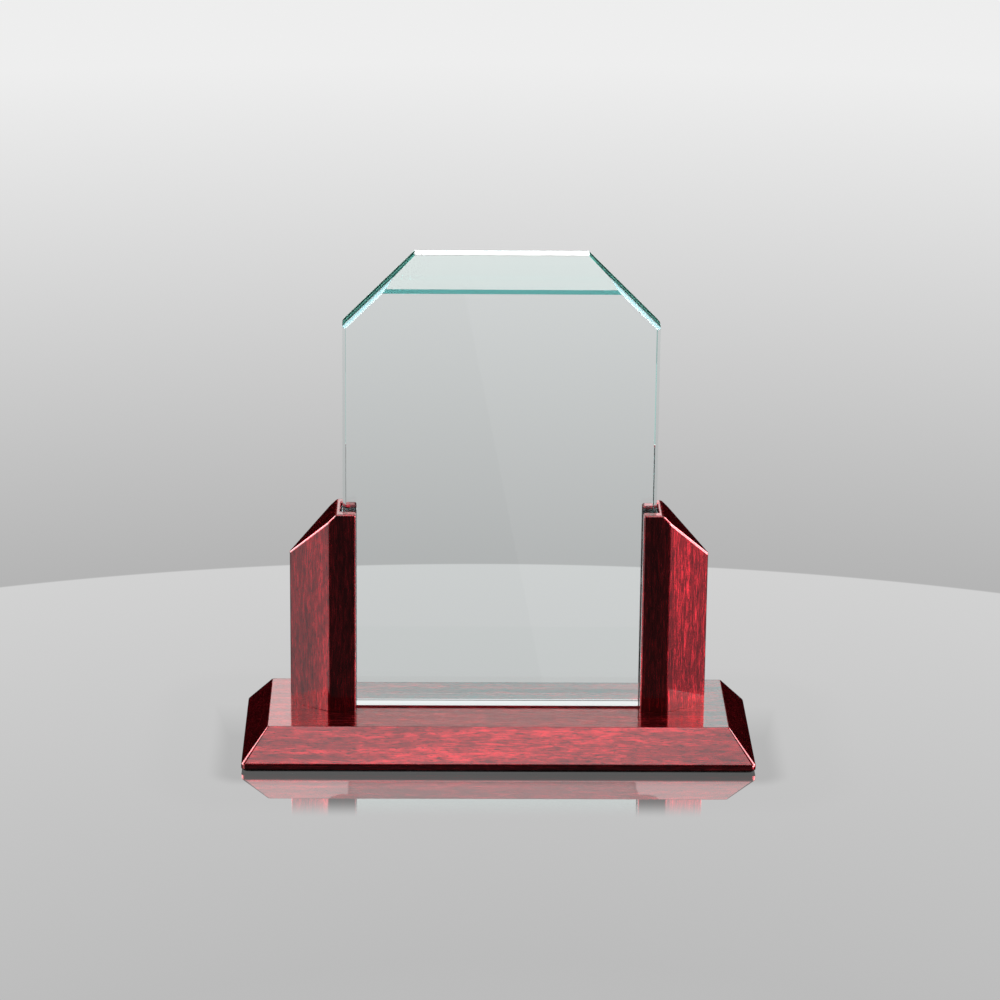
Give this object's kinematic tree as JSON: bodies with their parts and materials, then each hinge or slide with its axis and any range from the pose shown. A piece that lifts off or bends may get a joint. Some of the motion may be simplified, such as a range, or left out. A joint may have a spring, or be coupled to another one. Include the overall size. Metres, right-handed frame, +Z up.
{
  "type": "award plaque",
  "caption": "Free-standing award plaque: a clear glass plate with clipped corners and a bevelled top, standing in grooved lacquered wooden posts on a bevelled wooden base.",
  "frame": {"origin": "on the surface the plaque stands on, at the middle of the base", "axes": "+Z up along the glass plate, +X along the base to the right as seen from the front, the front of the plate faces -Y"},
  "size_m": [0.25, 0.09, 0.2484],
  "materials": {
    "lacquered_rosewood": "high-gloss clear lacquer over red-brown stained wood",
    "black_felt": "matt pressed felt",
    "clear_vinyl": "clear soft vinyl",
    "zinc_steel": "bright zinc plate",
    "beech": "bare turned wood",
    "jade_glass": "clear polished plate glass with green edges"
  },
  "bodies": {
    "stand": {"base_board": "lacquered_rosewood", "base_felt": "black_felt", "left_post": "lacquered_rosewood", "right_post": "lacquered_rosewood", "left_groove_felt": "black_felt", "right_groove_felt": "black_felt", "setting_pads": "clear_vinyl", "left_post_screw": "zinc_steel", "right_post_screw": "zinc_steel", "left_screw_washer": "zinc_steel", "right_screw_washer": "zinc_steel", "left_post_dowel": "beech", "right_post_dowel": "beech"},
    "glass": {"glass_plate": "jade_glass"}
  },
  "joints": [
    {"name": "glass_lift", "type": "slide", "parent": "stand", "child": "glass", "axis": [0, 0, 1], "range_m": [0, 0.12]}
  ]
}
